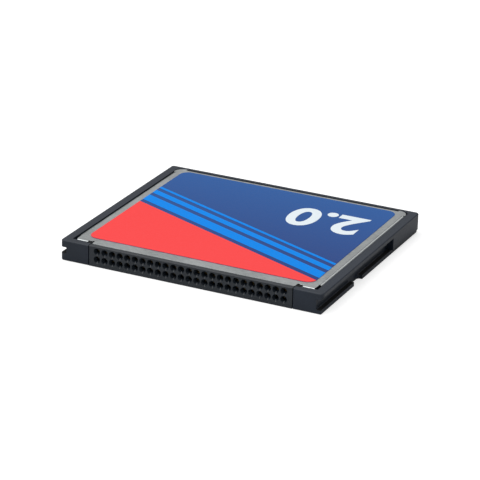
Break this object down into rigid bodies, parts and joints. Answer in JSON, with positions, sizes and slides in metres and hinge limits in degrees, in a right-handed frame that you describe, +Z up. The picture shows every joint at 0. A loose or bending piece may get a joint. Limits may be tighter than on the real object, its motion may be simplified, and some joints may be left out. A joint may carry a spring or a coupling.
{
  "type": "compact flash memory card",
  "caption": "Flat memory card with a moulded frame, stamped steel covers, side guide slots and rows of pin sockets along one edge.",
  "frame": {"origin": "middle of the bottom face, where the card lies on a table", "axes": "+X along the row of sockets across the card's width, -Y out of the socket face, +Z up through the thickness to the labelled face"},
  "size_m": [0.0428, 0.0364, 0.0033],
  "materials": {
    "frame_plastic": "fine satin moulding, black glass-filled polyester",
    "cover_steel": "stamped stainless sheet, satin",
    "label_dark_blue": "printed polyester film",
    "label_red": "printed ink",
    "label_bright_blue": "printed ink",
    "housing_plastic": "black liquid crystal polymer, moulded",
    "contact_metal": "gold-plated bronze",
    "board_laminate": "green solder mask on glass laminate",
    "insulating_film": "amber polyimide film",
    "chip_epoxy": "moulded epoxy",
    "lead_metal": "tin-plated",
    "crystal_can": "plated lid",
    "capacitor_ceramic": "fired ceramic with tinned ends",
    "tantalum_epoxy": "moulded epoxy",
    "resistor_ceramic": "glazed black with tinned ends"
  },
  "bodies": {
    "root": {"frame": "frame_plastic", "top_cover": "cover_steel", "bottom_cover": "cover_steel", "label_film": "label_dark_blue", "label_red_ink": "label_red", "label_blue_ink": "label_bright_blue", "connector_housing": "housing_plastic", "upper_contacts": "contact_metal", "lower_contacts": "contact_metal", "circuit_board": "board_laminate", "top_insulating_film": "insulating_film", "bottom_insulating_film": "insulating_film", "memory_chips": "chip_epoxy", "memory_chip_leads": "lead_metal", "controller_chip": "chip_epoxy", "controller_chip_leads": "lead_metal", "clock_crystal": "crystal_can", "voltage_regulator": "chip_epoxy", "voltage_regulator_leads": "lead_metal", "ceramic_capacitors": "capacitor_ceramic", "tantalum_capacitors": "tantalum_epoxy", "resistors": "resistor_ceramic", "resistor_arrays": "resistor_ceramic"}
  },
  "joints": []
}
